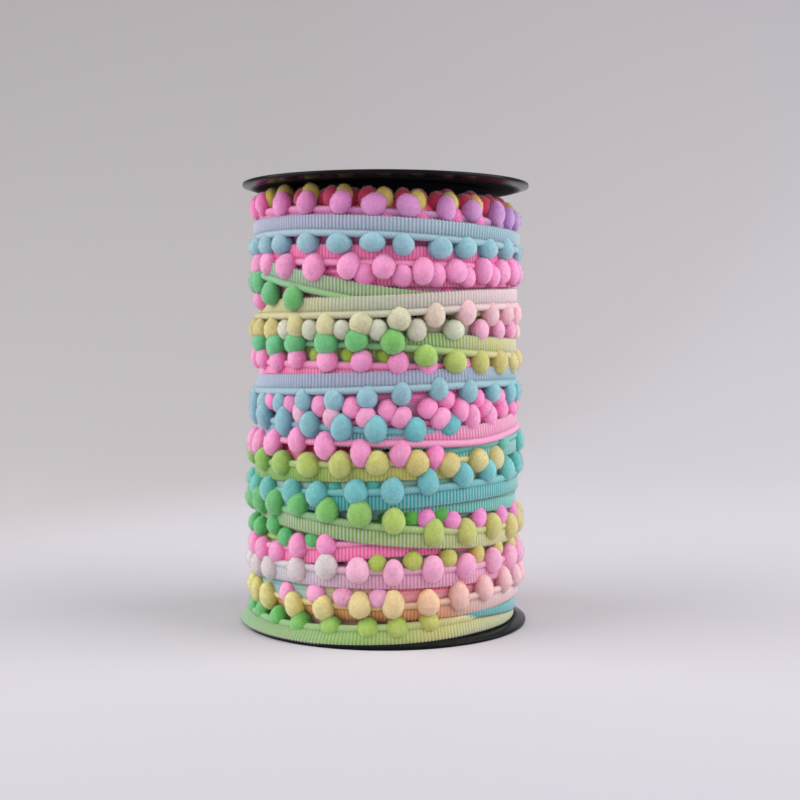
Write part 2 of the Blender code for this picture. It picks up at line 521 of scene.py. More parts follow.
def makeWeave():
    # ribs pale along their tops, as bare thread and a painted highlight, and darker between them, a painted
    # shade; a fine weft across them, and a line of small holes beside the cord
    material, tree, surface = newMaterial("weave", weave["surface"])
    rib = read(tree, "rib")
    cord = read(tree, "cord")
    plain = minus(1.0, cord)
    across = split(read(tree, "section", "Vector"))[0]
    fibres = placeGroup(tree, fibreGroup, {"Size": weave["fibre"], "Mottle": weave["mottle"]})
    fade = timesPlus(across, -1 / weave["fadeWidth"], 1.0)
    dye = timesPlus(read(tree, "drift"), fade, read(tree, "dye"))
    bath = placeGroup(tree, dyeGroup, {"Dye": dye})

    wave = calc("COSINE", times(across, 2 * math.pi / weave["weft"]))
    weft = times(times(wave, plain), weave["weftTone"])
    spot = split(ownPlace(tree))
    turned = times(calc("ARCTAN2", spot[0], spot[1]), float(weave["strands"]))
    slant = timesPlus(across, 2 * math.pi / weave["strandSlant"], turned)
    strands = times(calc("SINE", slant), cord)
    fromEdge = calc("DIVIDE", across, weave["edge"])
    rim = calc("MAXIMUM", minus(1.0, fromEdge), 0.0)
    fromSeam = calc("DIVIDE", minus(across, weave["seamAt"]), weave["seamWidth"])
    seam = calc("MAXIMUM", minus(1.0, calc("ABSOLUTE", fromSeam)), 0.0)
    # painted shade between the ribs
    dip = calc("MAXIMUM", times(rib, -1.0), 0.0)
    tone = calc("ADD", fibres["Tone"], weft)
    tone = minus(tone, times(dip, weave["ribDipShade"]))
    tone = minus(tone, times(seam, weave["seamTone"]))
    tone = timesPlus(strands, weave["strandTone"], tone)

    base = mixed(times(cord, weave["cordFelt"]), bath["Weave"], bath["Felt"])
    # rib tops paler: bare thread, and a painted highlight
    bare = timesPlus(rib, weave["ribBleachAndHighlight"], weave["flatBleach"])
    bare = calc("MAXIMUM", times(bare, plain), 0.0)
    bare = times(bare, times(read(tree, "sheer"), weave["bleach"]))
    bare = timesPlus(cord, weave["cordBleach"], bare)
    bare = calc("MAXIMUM", bare, times(rim, weave["edgeBleach"]))
    base = mixed(bare, base, weave["thread"])
    height = timesPlus(weft, weave["weftBump"], fibres["Height"])
    height = timesPlus(strands, weave["strandBump"], height)
    finishCloth(surface, scaled(shaded(base, weave), tone), height, weave)
    return material


feltMaterial = makeFelt()
weaveMaterial = makeWeave()
print("materials: felt and weave, both from one dye run")

# side: 1 with the balls above their tape, -1 below. edge: height of the tape's edge that carries the balls.
# tapeAt, ballsAt: distance from the axis. lean: how much further out the tape's free edge lies.
# size: width and length of a ball. at: angle, height, and where needed tilt and dye, of each front ball.
Turn = namedtuple("Turn", "name side edge tapeAt lean ballsAt size dye at")

# Degrees round the front, positive to the right. A turn may leave out the last two.
stations = (-80, -40, 0, 40, 80, 96, 122)
turns = (
    Turn("olive", 1, (108.6, 108.1, 106.9, 106, 105.6), 31, 0, 31.4, (4.8, 5.2), (12, 12.1, 12.1, 12.05, 8),
        ((-67, 110.1), (-53, 110.3), (-35.4, 110), (-18.5, 109.4), (-1, 108.6), (13.5, 108), (29, 107.9),
        (43.5, 107.6))),
    Turn("salmon", 1, 107.2, 30.6, 0, 30.9, (5, 5.1), 13, ((-55, 109.4), (-41, 109.3), (-24.5, 109.2),
        (-7.7, 108.9), (7.8, 108.4), (23.5, 108.1, 20), (38.5, 107.9), (51, 107.9), (63, 107.7))),
    Turn("lavender", 1, (107.9, 107.5, 106.3, 105.3, 103.8), 32.8, 0, 33.3, (5.1, 5.9),
        (1.05, 1.25, 1.5, 1.65, 2), ((-69, 109, 0), (-50, 108, 8), (-35.2, 107.9, 14), (-18.8, 107.7, 30),
        (-4.7, 107.1, 66), (9.3, 106.7, -35), (26, 106.4, 0), (39.3, 106.2, 4), (55.5, 106, 0),
        (67, 105.2, 0))),
    Turn("pinkBehindSky", 1, 102, 31.4, 0, 31.6, (4.8, 5), 1, ((0, 103.9), (15.2, 104.1), (31.5, 104.4),
        (44.5, 103.6), (57, 102.8))),
    Turn("skyTop", -1, (99.6, 99.9, 98.9, 97.6, 96.6), (34.1, 34.1, 34.1, 34.2, 34.3),
        (0, 0, 0.1, 0.5, 0.5), 33.6, (5.9, 5.1), (3.1, 3, 3.1, 3.3, 3.4), ((-73, 98.3), (-61, 98.3),
        (-49.5, 98.2), (-34, 98.3), (-19.4, 98), (-5.4, 98.2), (7.2, 97.6, 90), (23, 97), (35, 97.2),
        (48, 97.2), (62, 97.5))),
    Turn("pinkTop", -1, (93.2, 92.7, 92.1, 91.7, 92), 32.9, 0, 33.6, (5.5, 6.4), 1, ((-72, 93.8),
        (-60.5, 93.8), (-46.5, 92.7, 28), (-31.2, 92.3), (-15.3, 92.5, 16), (-0.7, 92.3), (15.5, 91.3),
        (30.5, 91.4, 8), (45.3, 91.8), (59.5, 91.8), (73, 92))),
    Turn("pinkUnderTop", 1, (87, 91.5, 92.9, 92.6, 93.4), (31.2, 31.2, 32.2, 32.3, 32.3), 0,
        (33.5, 31.2, 33, 33, 33), (5, 5.6), 1.05, ((-72, 84.3), (-9, 90.3), (7, 90), (21.5, 90.4),
        (36.8, 90), (53, 90.3))),
    Turn("greenSlant", -1, (91.5, 86.6, 81.9, 80.2, 80.4), (34, 33.8, 33.5, 32.4, 31.8), 0,
        (33.6, 34.6, 33, 31, 31), (5.3, 5.8), (5.2, 5.8, 6.7, 7, 6.5), ((-82, 89.4), (-70, 89.4),
        (-57, 86.3), (-41, 84.9))),
    Turn("creamRise", -1, (79.6, 79.5, 80, 81.7, 82.4), 34.2, (-3.2, -0.6, 0, 0, 0), 33.7, (5.3, 6),
        (8, 8.3, 8.9, 9.8, 10), ((-69, 77), (-56, 77), (-40, 77.9), (-25, 78.2), (-9.9, 78.7), (5.6, 79.8),
        (20.5, 80.7), (35.5, 81.3), (50.5, 81.1), (64, 81.3))),
    # dye 14 on the first six balls is the painted-shade white
    Turn("white", 1, 75.5, 31.6, 0, 33.3, (4.9, 5), (7.4, 7.4, 7.4, 8, 9.6), ((-47, 77.1, 3, 14),
        (-33, 77.1, -5, 14), (-18.2, 77.1, 4, 14), (-3.2, 77.1, 0, 14), (13, 77.1, 5, 14),
        (30, 77.1, 0, 14), (44.5, 77.1, -4, 0.6), (57.2, 77.1, 0, 0.75), (70, 77.1, 0, 0.8))),
    Turn("greenTop", -1, (73.4, 73, 72.3, 70.3, 69.2), (33, 33, 33.3, 34, 34), (-3.5, -3.5, -2.5, 0, 0),
        33.7, (5.6, 5.8), (5.2, 5.3, 6, 7.7, 8.4), ((-69, 74.2), (-54, 73.2), (-41, 73.9), (-25.4, 74.1),
        (-12, 74.7), (3, 74.4), (16.8, 70.8), (30.3, 69.4), (43.5, 69.2), (57, 69), (71, 68.8))),
    Turn("greenBehind", 1, 70, 30.8, 0, 31.3, (4.6, 4.6), 7.2, ((-32, 71), (-16, 71), (0, 71))),
    Turn("pinkMiddle", 1, (69.8, 69.6, 69.3, 69, 69), (32.9, 32.9, 32.7, 32, 31.5), 0,
        (33.4, 33.4, 33.2, 31.5, 31.3), (5, 5.6), 1, ((-68, 70), (-53, 69.5), (-40.5, 70.2, 30),
        (-25, 69.8), (-9.8, 69.6, 34), (5.5, 69.2, 16), (18, 68.8), (36, 68.8))),
    Turn("skyMiddle", -1, (60.2, 60.9, 61.9, 62.8, 62.5), 34.1, (-1.5, 0, -0.8, -0.5, 0), 33.6, (4.9, 5.6),
        (3.2, 3.2, 3.1, 3.3, 3.7), ((-64, 58.6), (-50, 58.8), (-36, 59.7), (-21.5, 60), (-7.5, 60.8),
        (6.5, 61.7), (22.3, 62.8), (37, 62), (52, 61.7), (68, 61))),
    Turn("pinkHigh", -1, 59.5, 31.4, 0, 32.4, (4.8, 5), 1.1, ((26.5, 60.3), (43.5, 60.3), (59, 60.5),
        (74, 60.2))),
    Turn("pinkBelowSky", -1, 60, 31.8, 0, 32.8, (4.9, 5.4), 1, ((-58.5, 59.6), (-43.7, 59), (-28, 58.7),
        (-14, 58.4), (1, 57.8), (18, 58.2, 40), (33.5, 57.7), (48, 57.5), (61, 57.2), (74, 57))),
    Turn("pinkPale", 1, 55.5, 31.8, 0, 33.1, (4.9, 5.6), (0.3, 0.5, 0.8, 0.9, 0.9), ((-38, 56.5),
        (-22.5, 56), (-8, 56, 20), (6.5, 56, 40), (23.5, 55.7, 40), (39, 55.6), (50, 55.8, -10))),
    Turn("skyLower", 1, (55.5, 54.6, 53.7, 53, 53), (32.8, 32.8, 32.8, 32.4, 32), 0,
        (33.7, 33.7, 33.5, 32, 31), (5.1, 6.5), (3.1, 3.4, 3.8, 3.9, 3.6), ((-63, 55.3), (-47, 54.5, 14),
        (-32.7, 54, 10), (-18, 53.5, 6), (-3.9, 53.2), (12.3, 53, -6), (28.5, 53.9, 50))),
    Turn("pinkRise", -1, (48.2, 48.8, 48.9, 48.3, 51), (33.3, 33.3, 33.4, 34, 34.2),
        (-2, -2.2, -2.4, -0.6, -1), (33.7, 33.6, 33.4, 31.4, 31.2), (5, 6.5), 1, ((-79, 48), (-68, 48.3),
        (-54.5, 48.8), (-39, 49.9), (-25.3, 49), (-9.9, 47.4, -4), (6.2, 47.3, 14), (21, 46.7))),
    Turn("limeTop", 1, (44, 44.9, 46, 46.2, 46.2), (33.2, 33.2, 33.1, 32.6, 32), 0,
        (33.5, 33.5, 33.3, 33, 32), (5.9, 6), (6.3, 6.9, 7.9, 8.3, 8.6), ((-63, 44.3), (-48.5, 44),
        (-33.4, 44), (-18.4, 44.5), (-3.5, 45), (13, 45), (27.2, 44.3, 22), (42.3, 44.8), (54, 44.9))),
    Turn("tealCorner", 1, (46, 46, 46, 49.5, 50.9), (30.8, 30.8, 30.8, 32.6, 33.8), 0,
        (30, 30, 30, 31.5, 34), (5, 5.6), 4.4, ((60, 49.4), (82, 48))),
    Turn("turquoise", 1, (37, 38, 38.9, 40.4, 41), (33, 33, 33.2, 33.9, 34), 0, 33.5, (5.6, 6.2),
        (4.4, 4.2, 3.9, 4, 4.2), ((-72, 36.8), (-58.5, 36.7), (-41.8, 37, 10), (-29, 37, 14), (-12, 38),
        (3, 38.3), (17.6, 40.3), (33.4, 41.5), (47, 42), (62, 42), (77, 42.4))),
    Turn("mintUnder", 1, (37.6, 38, 38.3, 37.2, 36.2), (31.8, 32, 32.4, 33, 33.3), 0, 31.4, (4.8, 5), 4.4,
        ((-21.5, 39.2), (-5, 39.4))),
    Turn("greenFall", 1, (35, 33, 30.2, 28.4, 28.3), (31.8, 33.6, 33.8, 33.6, 33.6), 0, 33.7, (5.7, 6.2),
        (5.6, 5.8, 6.7, 7.6, 8.3), ((-79, 33.2), (-66, 33.5), (-52.5, 33.8, 12), (-38.5, 34.2, 20),
        (-24, 33.2, 8), (-10.3, 32.7), (3.5, 31, 4, 7.1), (19.8, 27.9), (35, 27.5), (50.5, 28), (66, 27))),
    Turn("greenBehindFall", 1, 31, 31, 0, 31.6, (4.8, 5), 6.2, ((11, 31.2), (24, 32))),
    Turn("greenDeep", -1, (29, 28, 25, 24, 24), (32, 31.8, 30.8, 30.6, 30.6), 0,
        (33.2, 32.4, 31, 30.6, 30.6), (5.2, 5), 5.6, ((-70, 26.5), (-55, 28), (-47, 25.4), (-31.6, 25.6))),
    Turn("pinkBehind", -1, 33, (30.8, 30.8, 31.2, 31.6, 31.6), 0, (30.6, 30.8, 32.2, 32.5, 32.5),
        (4.9, 5.4), (1.2, 1.2, 1.2, 1.2, 1.3), ((17.2, 31.3), (29, 30.2, 20), (43.5, 30.3, 24),
        (59.5, 30.4), (75, 30.5))),
    Turn("pinkLower", 1, (22, 24.3, 27.4, 27.5, 27.5), (32.8, 32.9, 32.8, 31.6, 31.4), 0,
        (33.2, 33.2, 32.4, 31, 30.8), (5.2, 5.6), 1, ((-79, 21), (-66, 21), (-52, 21.5), (-39, 23.7),
        (-24.8, 24.9))),
    Turn("whiteLower", 1, 19.6, 33.4, 0, 33.7, (5.4, 6), (0, 0, 0.75, 0.8, 0.8), ((-70, 16.5), (-57, 16.8),
        (-39, 17.9), (-24.5, 19.4, 4, 0), (-11, 18.8, 0, 0.6), (3.3, 18.4, 6), (19.5, 19), (35, 18.9, 14),
        (51, 19.3), (66, 18.9))),
    Turn("oliveBehind", -1, 23.4, 31.6, 0, 32.6, (4.7, 5), (7, 7, 7.2, 8.1, 8.4), ((-3.2, 20.3),
        (11.6, 20.9), (27, 21.3), (42.4, 21.6), (56, 22), (71, 21.8))),
    Turn("pinkLowest", -1, 14, 31.6, 0, 32.9, (5.1, 5), 0.75, ((-46, 11.7), (-30, 12.4), (-17.2, 12.2),
        (-2.5, 12.2))),
    Turn("peach", 1, (11, 10.7, 10.5, 12.3, 13.3), (33.3, 33.3, 33.6, 34.3, 34.4),
        (-2.6, -2.4, -2.2, -0.6, -0.2), (33.9, 33.9, 33.9, 34.1, 34.1), (5.2, 6.4),
        (12, 12, 11.6, 10.4, 10), ((-73, 9.6), (-60, 9.3), (-41.3, 8.8), (-26.2, 9), (-10.4, 10.4),
        (3.3, 10.6), (17.8, 10.8), (31.5, 11.8), (45, 13), (59, 13.6), (72, 13.6))),
    Turn("greenLowest", 1, (4.6, 4.6, 5.8, 7, 7.2), (34.3, 34.2, 34, 33.5, 33.3), (3.9, 3.8, 1.9, 0.9, 0.3),
        (33.9, 33.9, 33.8, 33, 32.6), (5.4, 5.6), (5.6, 6.3, 7, 8.4, 8.6), ((-79, 5), (-66, 4.9),
        (-51.5, 4.7), (-38, 4.2), (-23, 4.5), (-7, 4.4), (5, 4.6), (18.5, 6))),
    Turn("tealLowest", 1, (8, 8, 9, 11.2, 9.2), (30, 30, 30, 33.9, 34, 34, 30), 0,
        (28.5, 28.5, 28.5, 30.8, 30.8, 30.8, 28.5), (5.2, 5.6), 4, ((72, 9.5), (88, 9.6))),
)

# How much of the ground cloth shows as pale bare thread, where it isn't 1; low values also darken tapes where
# they lie in shadow, a painted shade.
bareThreadAndShadeTurns = {
    "limeTop": 0.15,
    "turquoise": (0.15, 0.3, 0.7, 1, 1),
    "pinkTop": 0.5,
    "pinkLower": 0.7,
    "greenSlant": 1.2,
    "greenFall": 1.1,
    "creamRise": 0.9,
    "greenLowest": 0.4,
    "whiteLower": 1.4,
    "skyTop": 1.1,
    "skyMiddle": 0.7,
    "peach": 0.7,
    "pinkRise": (0.3, 0.3, 0.5, 1, 1),
}

# How far the dye of the free edge lies from that of the edge with the balls.
driftTurns = {
    "skyTop": (-0.8, -0.8, -0.4, 0, 0),
    "skyMiddle": (-0.5, -0.8, -0.9, -0.8, -0.4),
    "creamRise": (-0.4, 0, 0.3, 0, 0),
    "greenFall": (0.6, 0.9, 0.7, 0.3, 0.3),
    "greenLowest": (0, 0, 0.3, 0.5, 0.5),
    "pinkRise": (0, 0, 0, -0.3, -0.3),
}

# The layer below, seen only through the gaps: height, dye and, where it isn't "at", distance from the axis.
hidden = (
    (107.6, 13), (103, 1.2), (97.5, 1.1), (91, 1), (86, (13, 13, 1.1, 1, 1)),
    (80, (7.4, 7.4, 7.5, 9.4, 10)), (73.5, 4.8), (67, 1.3), (60.5, 1.4), (54, 1.4),
    (47.6, (13, 13, 13, 1.15, 1.1)), (41.6, 5, 32.2), (36, 4.5), (31, 6), (25.5, 5.7), (20, 1.1),
    (14.8, (4.2, 4.2, 13, 13, 13), 32.3), (9, 11.2, 31),
)
layer = {
    "at": 31.2,  # millimetres
    "ballSize": (4.8, 5.4),
    "ballsInside": 1.2,
    "ballsAbove": 1,
    "ballStep": 15,  # degrees between the first two balls of a turn
    "turnStep": 7,  # degrees from the first ball of a turn to that of the next
    "ribPitch": 2.4,
    "samples": 1,
    "segments": 8,
    "rings": 6,
}

tape = {
    "width": 5.3,  # millimetres, as are the heights and distances of the turns
    "ribPitch": 0.92,
    "ribHeight": 0.15,
    "samples": 4,  # rings of points to a rib
    "picot": 0.34,
    "wander": 0.14,
    "wanderFront": 0.2,  # share of it over the front
    "wanderBack": 2.8,  # share of it added round the back
    "waves": (3, 5, 8, 13),  # to a turn
    "listedTo": 75,  # degrees each way from the front
    "backAfter": 30,  # degrees further on
    "easing": 7.0,  # degrees
    "seed": 11,
}

pompom = {
    "gain": 1.08,  # how much the fluff adds to a ball's size
    "depth": 0.85,  # share of the width
    "taper": -0.07,
    "hang": 0.2,  # how far a ball points along the line from its root
    "frontTilt": 5,  # degrees, as are the next four
    "backTilt": 14.0,
    "sway": 8,
    "pitch": 14.7,  # between balls where they aren't listed
    "slip": 1.2,
    "rise": 0.4,  # millimetres
    "room": 4.0,  # least distance between the middles of two balls round the back
    "backFrom": 0.1,  # how far round to the back, from 0 to 1, those that aren't listed start
    "besideTape": 3.6,  # a ball nearer than this to the height of a tape's middle
    "behindTape": 2.6,  # and less than this behind the tape would come through it
    "sizes": (0.96, 1.05),
    "uneven": 0.035,
    "dyeSpread": 0.06,
    "lumps": 0.24,
    "lumpScale": 340.0,
    "segments": 12,
    "rings": 7,
}


def around(values):
    # one value per degree, from those at the stations, with the bends eased
    if isinstance(values, (int, float)):
        return np.full(360, float(values))
    listed = np.interp(np.arange(360), stations[:len(values)], values, period=360)
    reach = np.arange(360)
    reach = np.minimum(reach, 360 - reach)
    kernel = np.exp(-0.5 * (reach / tape["easing"]) ** 2)
    return np.real(np.fft.ifft(np.fft.fft(listed) * np.fft.fft(kernel / kernel.sum())))


def fatter(height):
    heights = (roll["slimTo"], roll["swollenFrom"], roll["swollenTo"], roll["slimFrom"])
    return np.interp(height, heights, (0, roll["swell"], roll["swell"], 0))


def backOnly(angles):
    # 0 over the front, where each turn is listed, and 1 round the back
    fromFront = np.abs((np.asarray(angles) + 180) % 360 - 180)
    return np.clip((fromFront - tape["listedTo"]) / tape["backAfter"], 0, 1)


def wander(rng):
    # a tape's uneven height, in waves that each start anywhere
    angles = np.arange(360)
    wave = np.zeros(360)
    for cycles in tape["waves"]:
        wave += rng.normal() / cycles * np.sin(cycles * np.radians(angles) + rng.uniform(0, 6.28))
    return tape["wander"] * (tape["wanderFront"] + tape["wanderBack"] * backOnly(angles)) * wave


def compass(angles):
    angle = np.radians(angles)
    return np.stack([np.sin(angle), -np.cos(angle), np.zeros_like(angle)], axis=-1)


def ringPoints(distance, height):
    points = compass(np.arange(360)) * distance[:, None]
    points[:, 2] = height
    return points * mm


def unit(vectors):
    return vectors / np.linalg.norm(vectors, axis=1)[:, None]


def tapePath(turn, rng):
    # the free edge, with the directions across the tape and out of it
    lean = around(turn.lean)
    rise = np.sqrt(tape["width"] ** 2 - lean**2)
    height = around(turn.edge) + wander(rng)
    distance = around(turn.tapeAt) + fatter(height)
    free = ringPoints(distance + lean, height - turn.side * rise)
    across = unit(ringPoints(distance, height) - free)
    outward = compass(np.arange(360))
    outward = unit(outward - across * (outward * across).sum(axis=1)[:, None])
    columns = [free, across, outward, around(turn.dye)]
    columns += [around(bareThreadAndShadeTurns.get(turn.name, 1)), around(driftTurns.get(turn.name, 0))]
    return [column[::-1] for column in columns] if turn.side < 0 else columns


def off(rng, most, count=None):
    return rng.uniform(-most, most, count)


def frontBalls(turn, rng):
    # angle, height, tilt and dye of each listed ball
    dyes = around(turn.dye)
    spots = []
    for angle, height, *more in turn.at:
        tilt = more[0] if more else off(rng, pompom["frontTilt"])
        spots.append((angle, height, tilt, more[1] if len(more) > 1 else dyes[round(angle) % 360]))
    return spots


def backBalls(turn, rng):
    # even steps round the back, from the last listed ball to the first
    dyes = around(turn.dye)
    start, end = turn.at[-1], turn.at[0]
    gap = 360 - (start[0] - end[0])
    extra = max(0, round(gap / pompom["pitch"]) - 1)
    spots = []
    for i in range(1, extra + 1):
        share = i / (extra + 1)
        angle = start[0] + gap * share + off(rng, pompom["slip"])
        height = start[1] + (end[1] - start[1]) * share + off(rng, pompom["rise"])
        spots.append((angle, height, off(rng, pompom["backTilt"]), dyes[round(angle) % 360]))
    return spots


def cutsTape(turn, spot, group):
    # whether a ball would push its face through a tape that lies just in front of it
    at = round(spot[0]) % 360
    distance = around(turn.ballsAt)[at]
    for other in group:
        middle = around(other.edge)[at] - other.side * tape["width"] / 2
        beside = abs(spot[1] - middle) < pompom["besideTape"]
        ahead = around(other.tapeAt)[at] - distance
        if other is not turn and beside and 0 < ahead < pompom["behindTape"]:
            return True
    return False


def spreadBalls(group, rng):
    # every turn's balls. Round the back, one that would run into another ball or a tape is left out.
    spread = {turn.name: frontBalls(turn, rng) for turn in group}
    taken = [ballCentre(turn, spot) for turn in group for spot in spread[turn.name]]
    for turn in sorted(group, key=lambda one: -around(one.ballsAt)[180]):
        for spot in backBalls(turn, rng):
            centre = ballCentre(turn, spot)
            crowded = min(np.linalg.norm(np.array(taken) - centre, axis=1)) < pompom["room"]
            behind = backOnly(spot[0]) > pompom["backFrom"]
            if behind and not crowded and not cutsTape(turn, spot, group):
                spread[turn.name].append(spot)
                taken.append(centre)
    return spread


def ballCentre(turn, spot):
    distance = around(turn.ballsAt)[round(spot[0]) % 360] + fatter(spot[1])
    return compass(spot[0]) * distance + np.array([0, 0, spot[1]])


def ballPoints(turn, spots, rng):
    angles, heights, tilts, dyes = np.array(spots).T

    def there(values):
        return np.interp(angles, np.arange(360), around(values), period=360)

    count = len(angles)
    places = compass(angles) * (there(turn.ballsAt) + fatter(heights))[:, None]
    places[:, 2] = heights
    roots = compass(angles) * (there(turn.tapeAt) + fatter(heights))[:, None]
    roots[:, 2] = there(turn.edge)
    hang = turn.side * pompom["hang"] * (places - roots)
    hang[:, 2] += 1
    sway = np.radians(np.stack([off(rng, pompom["sway"], count), -tilts, np.zeros(count)], axis=1))
    width, length = np.multiply(turn.size, pompom["gain"])
    size = np.array([width, width * pompom["depth"], length]) * rng.uniform(*pompom["sizes"], (count, 1))
    size *= 1 + rng.normal(0, 1, (count, 1)) * np.array([pompom["uneven"], 0, -pompom["uneven"]])
    dye = np.clip(dyes + rng.normal(0, pompom["dyeSpread"], count), 0, len(dyeRun) - 1)
    return [places * mm, hang, compass(angles), dye, size * mm, sway]


def seedMesh(name, points, columns, loops=()):
    # points with named columns, joined in closed loops where loops are given
    mesh = bpy.data.meshes.new(name)
    edges = []
    first = 0
    for length in loops:
        ids = np.arange(length)
        edges += np.stack([first + ids, first + (ids + 1) % length], axis=1).tolist()
        first += length
    mesh.from_pydata(points.tolist(), edges, [])
    for label, values in columns.items():
        kind, key = ("FLOAT_VECTOR", "vector") if values.ndim == 2 else ("FLOAT", "value")
        numbers = values.astype(np.float32).ravel()
        mesh.attributes.new(label, kind, "POINT").data.foreach_set(key, numbers)
    return mesh


def joined(labels, sets):
    return dict(zip(labels.split(), (np.concatenate(column) for column in zip(*sets))))


def seedTapes(name, group, rng):
    columns = joined("free across outward dye sheer drift", [tapePath(turn, rng) for turn in group])
    return seedMesh(name, columns.pop("free"), columns, [360] * len(group))


def seedBalls(name, group, spread, rng):
    sets = [ballPoints(turn, spread[turn.name], rng) for turn in group]
    columns = joined("places hang outward dye size sway", sets)
    return seedMesh(name, columns.pop("places"), columns)


# Outlines of a tape's section in millimetres, the plain one for the layer below. Across from the free edge,
# outward, and how much of the rib, the picot and the cord each point has.
tapeSection = (
    (0, 0.1, 0, 1, 0),
    (0.35, 0.42, 0.9, 0.3, 0),
    (3.3, 0.38, 1, 0, 0),
    (3.5, 0.16, 0.2, 0, 0.2),
    (3.95, 0.68, 0, 0, 1),
    (4.75, 0.7, 0, 0, 1),
    (5.3, 0.1, 0, 0, 1),
    (3.6, -0.25, 0, 0, 0.5),
)
plainSection = (
    (0, 0, 0, 0, 0),
    (0.3, 0.4, 1, 0, 0),
    (3.7, 0.4, 1, 0, 0),
    (4.6, 0.7, 0, 0, 1),
    (5.3, 0, 0, 0, 1),
)


def sectionObject(name, outline):
    table = np.array(outline)
    points = np.zeros((len(table), 3))
    points[:, :2] = table[:, :2] * mm
    columns = dict(zip(("ribMask", "picotMask", "cord"), table[:, 2:].T))
    mesh = seedMesh(name, points, {"section": points, **columns}, [len(table)])
    return bpy.data.objects.new(name, mesh)


def shifted(spot, direction, amount):
    return calcVector("ADD", spot, scaled(vectorAttribute(spot, direction), amount))


def moved(geometry, key, vector):
    return addNode(geometry, "GeometryNodeSetPosition", {"Geometry": geometry, key: vector})


def leant(rotation, angles):
    turn = addNode(angles, "FunctionNodeEulerToRotation", {0: angles})
    inputs = {"Rotation": rotation, "Rotate By": turn}
    return addNode(turn, "FunctionNodeRotateRotation", inputs, rotation_space="LOCAL")


def copied(points, instance, rotation, scale):
    inputs = {"Points": points, "Instance": instance, "Rotation": rotation, "Scale": scale}
    return addNode(points, "GeometryNodeInstanceOnPoints", inputs)


def between(tree, low, high, kind):
    return addNode(tree, "FunctionNodeRandomValue", {"Min": low, "Max": high}, data_type=kind)


def shapeOf(given):
    return nodeOutputs(given, "GeometryNodeObjectInfo", {"Object": given})["Geometry"]


def makeTapeTree():
    # ribs and picots worked into a section that follows the free edge
    kinds = {"Object": "section", "Float": "ribPitch ribHeight picot", "Int": "samples", "Material": "cloth"}
    tree, given, result = newGeometryTree("weaveTape", kinds)
    path = addNode(tree, "GeometryNodeMeshToCurve", {0: given["Geometry"]})
    length = addNode(tree, "GeometryNodeSplineLength")
    ribs = calc("ROUND", calc("DIVIDE", length, given["ribPitch"]))
    count = times(ribs, given["samples"])
    path = addNode(tree, "GeometryNodeResampleCurve", {"Curve": path, "Count": count})
    index = nodeOutputs(tree, "GeometryNodeSplineParameter")["Index"]
    along = calc("DIVIDE", index, given["samples"])
    path = store(path, "crest", calc("COSINE", times(along, 2 * math.pi)))
    place = addNode(tree, "GeometryNodeInputPosition")
    path = store(path, "rail", place, "FLOAT_VECTOR")
    outline = addNode(tree, "GeometryNodeMeshToCurve", {0: shapeOf(given["section"])})
    cloth = addNode(tree, "GeometryNodeCurveToMesh", {"Curve": path, "Profile Curve": outline})
    crest = attribute(tree, "crest")
    cloth = store(cloth, "rib", times(crest, attribute(tree, "ribMask")))
    section = split(vectorAttribute(tree, "section"))
    loop = times(attribute(tree, "picotMask"), calc("MAXIMUM", crest, 0.0))
    reach = minus(section[0], times(loop, given["picot"]))
    lift = timesPlus(attribute(tree, "rib"), given["ribHeight"], section[1])
    spot = shifted(vectorAttribute(tree, "rail"), "across", reach)
    cloth = moved(cloth, "Position", shifted(spot, "outward", lift))
    endTree(result, cloth, given["cloth"])
    return tree


def makeBallTree():
    # an egg on each point, turned to hang from its tape, then made lumpy
    kinds = {"Float": "taper lumps", "Int": "segments rings", "Material": "cloth"}
    tree, given, result = newGeometryTree("hangBalls", kinds)
    inputs = {"Segments": given["segments"], "Rings": given["rings"], "Radius": 0.5}
    ball = addNode(tree, "GeometryNodeMeshUVSphere", inputs)
    place = addNode(tree, "GeometryNodeInputPosition")
    tip = times(split(place)[2], 2.0)
    swell = timesPlus(tip, given["taper"], 1.0)
    size = addNode(tree, "ShaderNodeCombineXYZ", {"X": swell, "Y": swell, "Z": 1.0})
    ball = moved(ball, "Position", calcVector("MULTIPLY", place, size))
    axes = {"Primary Axis": vectorAttribute(tree, "hang"), "Secondary Axis": vectorAttribute(tree, "outward")}
    turned = addNode(tree, "FunctionNodeAxesToRotation", axes, primary_axis="Z", secondary_axis="Y")
    turned = leant(turned, vectorAttribute(tree, "sway"))
    balls = copied(given["Geometry"], ball, turned, vectorAttribute(tree, "size"))
    balls = addNode(tree, "GeometryNodeRealizeInstances", {"Geometry": balls})
    noise = addNode(tree, "ShaderNodeTexNoise", {"Scale": pompom["lumpScale"], "Detail": 1.0})
    lump = times(minus(noise, 0.5), times(given["lumps"], 2.0))
    normal = addNode(tree, "GeometryNodeInputNormal")
    balls = moved(balls, "Offset", scaled(normal, lump))
    endTree(result, balls, given["cloth"])
    return tree


fuzz = {
    "hairs": 6.5,  # to a square millimetre
    "length": 0.66,
    "width": 0.07,
    "lie": 48.0,  # degrees
    "lean": ((-0.3, -0.5, 0.0), (0.3, 0.3, 6.28)),  # radians, least and most
    "sizes": (0.6, 1.1),
    "seed": 5,
}


def hairObject():
    # one hair, a slim blade that leans over by "lie" degrees and faces outwards
    lie = math.radians(fuzz["lie"])
    half = 0.5 * fuzz["width"] * mm
    tip = (fuzz["length"] * mm * math.sin(lie), 0.0, fuzz["length"] * mm * math.cos(lie))
    mesh = bpy.data.meshes.new("hair")
    mesh.from_pydata([(0.0, -half, 0.0), tip, (0.0, half, 0.0)], [], [(0, 2, 1)])
    mesh.attributes.new("end", "FLOAT", "POINT").data[1].value = 1.0
    return bpy.data.objects.new("hair", mesh)


